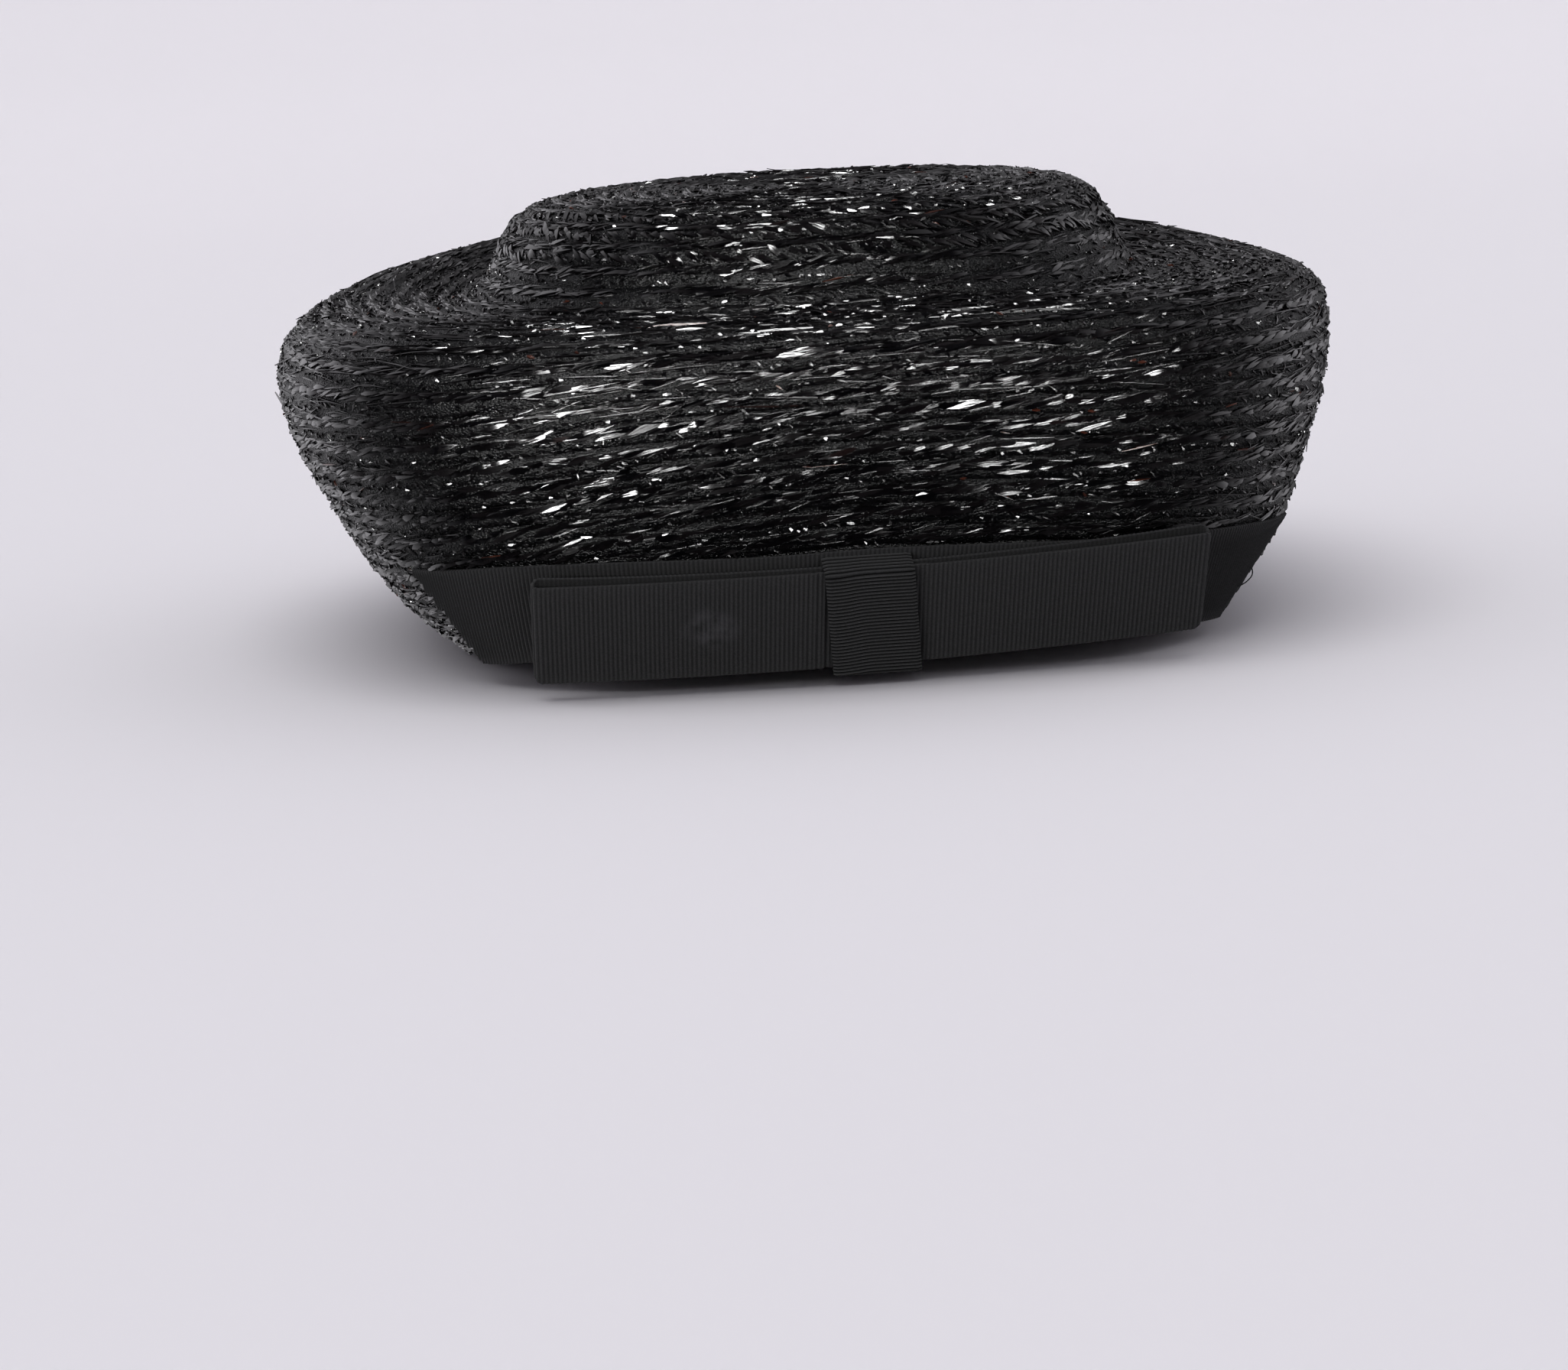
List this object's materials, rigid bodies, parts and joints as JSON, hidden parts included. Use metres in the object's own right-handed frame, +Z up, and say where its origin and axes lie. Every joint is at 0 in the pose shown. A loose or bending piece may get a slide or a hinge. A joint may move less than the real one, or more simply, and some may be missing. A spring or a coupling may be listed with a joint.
{
  "type": "pillbox hat",
  "caption": "Brimless black straw hat with flared sides, a level top, a low raised crown, and a ribbon band with a flat bow at the front.",
  "frame": {"origin": "in the plane that the rim rests on, under the middle of the hat's bounding box", "axes": "+Z up, -Y towards the front with the bow, +X to the right of someone who looks at the front"},
  "size_m": [0.2224, 0.2399, 0.0935],
  "materials": {
    "straw": "glossy black straw plait",
    "ribbon": "matt black grosgrain"
  },
  "bodies": {
    "root": {"straw_body": "straw", "ribbon_band": "ribbon", "bow": "ribbon", "bow_knot": "ribbon"}
  },
  "joints": []
}
